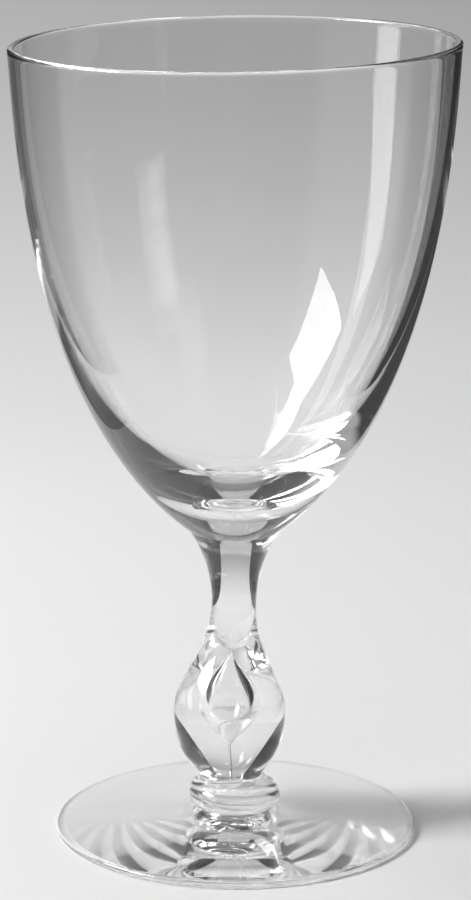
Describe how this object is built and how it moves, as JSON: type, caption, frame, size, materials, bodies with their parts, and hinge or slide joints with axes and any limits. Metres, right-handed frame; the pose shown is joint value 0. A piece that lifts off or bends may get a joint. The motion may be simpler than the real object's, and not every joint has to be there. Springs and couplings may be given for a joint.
{
  "type": "water goblet",
  "caption": "Clear glass water goblet with a deep tapered bowl, a slim stem whose pear-shaped bulb holds a drop of air, a collar and a round foot.",
  "frame": {"origin": "centre of the foot, on the plane that the foot rests on", "axes": "+Z is the axis of the goblet, from the foot up to the rim; every piece is round about it, so X and Y are equal"},
  "size_m": [0.092, 0.092, 0.168],
  "materials": {
    "bowl_glass": "clear, fire-polished",
    "stem_glass": "clear, fire-polished",
    "collar_glass": "clear, fire-polished",
    "foot_glass": "clear, fire-polished"
  },
  "bodies": {
    "root": {"bowl": "bowl_glass", "stem": "stem_glass", "collar": "collar_glass", "foot": "foot_glass"}
  },
  "joints": []
}
